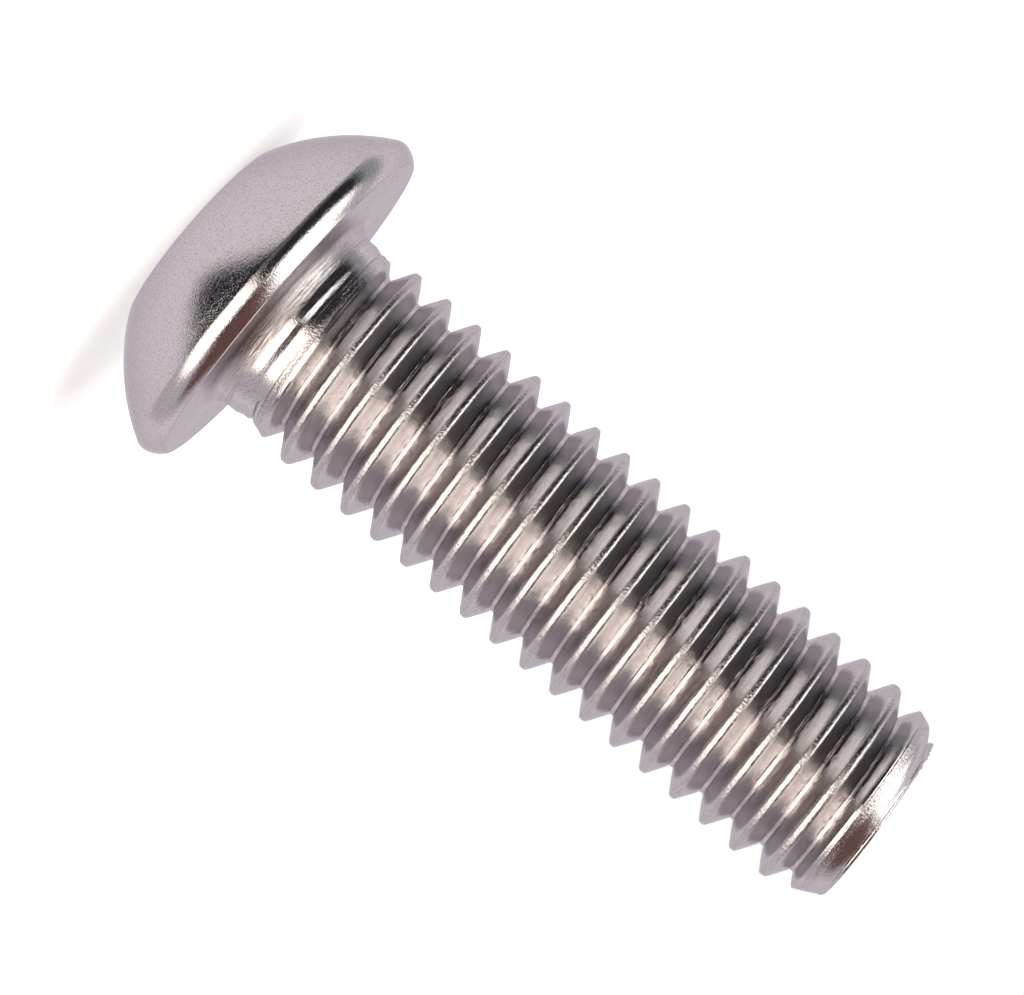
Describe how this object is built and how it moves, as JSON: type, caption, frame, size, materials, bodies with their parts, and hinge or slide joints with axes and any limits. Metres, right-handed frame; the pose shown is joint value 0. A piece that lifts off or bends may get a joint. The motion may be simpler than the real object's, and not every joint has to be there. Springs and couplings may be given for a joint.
{
  "type": "button head screw",
  "caption": "Domed button head machine screw with a hexagon socket, a short neck and a right-hand thread along the shank; clamps a part by turning into a tapped hole or nut.",
  "frame": {"origin": "centre of the head's flat top, which the screw stands on", "axes": "+Z along the shank from the head to the end; X and Y across, with the sheared end slightly shorter towards -X"},
  "size_m": [0.0102, 0.0102, 0.0229],
  "materials": {
    "stainless_steel": "satin stainless steel with fine turning and rolling marks"
  },
  "bodies": {
    "root": {"button_head_screw": "stainless_steel"}
  },
  "joints": []
}
